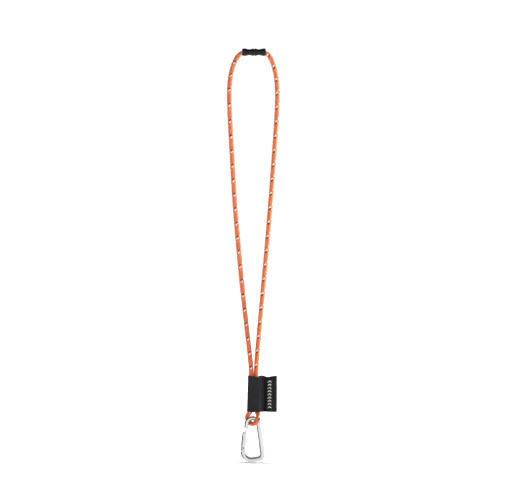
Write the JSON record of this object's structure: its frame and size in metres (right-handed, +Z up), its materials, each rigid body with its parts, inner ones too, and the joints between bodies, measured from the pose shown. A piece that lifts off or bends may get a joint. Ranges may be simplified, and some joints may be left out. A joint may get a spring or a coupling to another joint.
{
  "type": "breakaway neck lanyard",
  "caption": "Neck lanyard of braided round cord with a breakaway clip, a sewn sleeve with side label, and a snap-gate carabiner in a small cord loop.",
  "frame": {"origin": "centre of the breakaway clip, on the clip's axis, where the neck or a peg carries the lanyard", "axes": "+Z up along the hanging lanyard, its front faces -Y, +X to the right as seen from the front"},
  "size_m": [0.0581, 0.0169, 0.4508],
  "materials": {
    "cord": "braided polyester sheath with light and dark tracer yarns",
    "clip_plastic": "satin moulded plastic",
    "sleeve_fabric": "matt woven polyester",
    "label_fabric": "fine satin-woven label, folded double",
    "mark_thread": "woven white thread",
    "seam_thread": "bonded polyester thread",
    "aluminium": "polished and clear anodised",
    "steel": "plated"
  },
  "bodies": {
    "lanyard": {"clip_socket_half": "clip_plastic", "ferrule_right": "steel", "cord_left_leg": "cord", "cord_right_leg": "cord", "crimp_clamp": "steel", "sleeve_wrap": "sleeve_fabric", "label_flag": "label_fabric", "label_mark": "mark_thread", "seam_stitching": "seam_thread"},
    "clip_plug": {"clip_plug_half": "clip_plastic", "ferrule_left": "steel"},
    "cord_loop": {"cord_lower_loop": "cord"},
    "carabiner": {"carabiner_body": "aluminium", "hinge_rivet": "steel"},
    "gate": {"gate": "aluminium", "latch_pin": "steel"},
    "plunger": {"spring_plunger": "steel", "gate_spring": "steel"}
  },
  "joints": [
    {"name": "clip_breakaway", "type": "slide", "parent": "lanyard", "child": "clip_plug", "axis": [-1, 0, 0], "range_m": [0, 0.012], "deforming": ["cord_left_leg"]},
    {"name": "loop_twist", "type": "hinge", "parent": "lanyard", "child": "cord_loop", "pos_m": [-0.0014, 0, -0.3917], "axis": [0, 0, 1], "range_deg": [-45, 45], "stiffness_Nm_per_rad": 0.004, "deforming": ["cord_lower_loop"]},
    {"name": "carabiner_swing", "type": "hinge", "parent": "cord_loop", "child": "carabiner", "pos_m": [-0.00142, 0, -0.4052], "axis": [0, 1, 0], "range_deg": [-30, 30]},
    {"name": "gate_hinge", "type": "hinge", "parent": "carabiner", "child": "gate", "pos_m": [-0.01175, 0, -0.4316], "axis": [0, 1, 0], "range_deg": [0, 26], "stiffness_Nm_per_rad": 0.02, "springref_deg": -20.05},
    {"name": "plunger_slide", "type": "slide", "parent": "gate", "child": "plunger", "axis": [0.0885, 0, 0.9961], "range_m": [0, 0.0008], "deforming": ["gate_spring"]}
  ],
  "couplings": [
    {"joint": "plunger_slide", "follows": "gate_hinge", "m_per_rad": 0.0016}
  ]
}
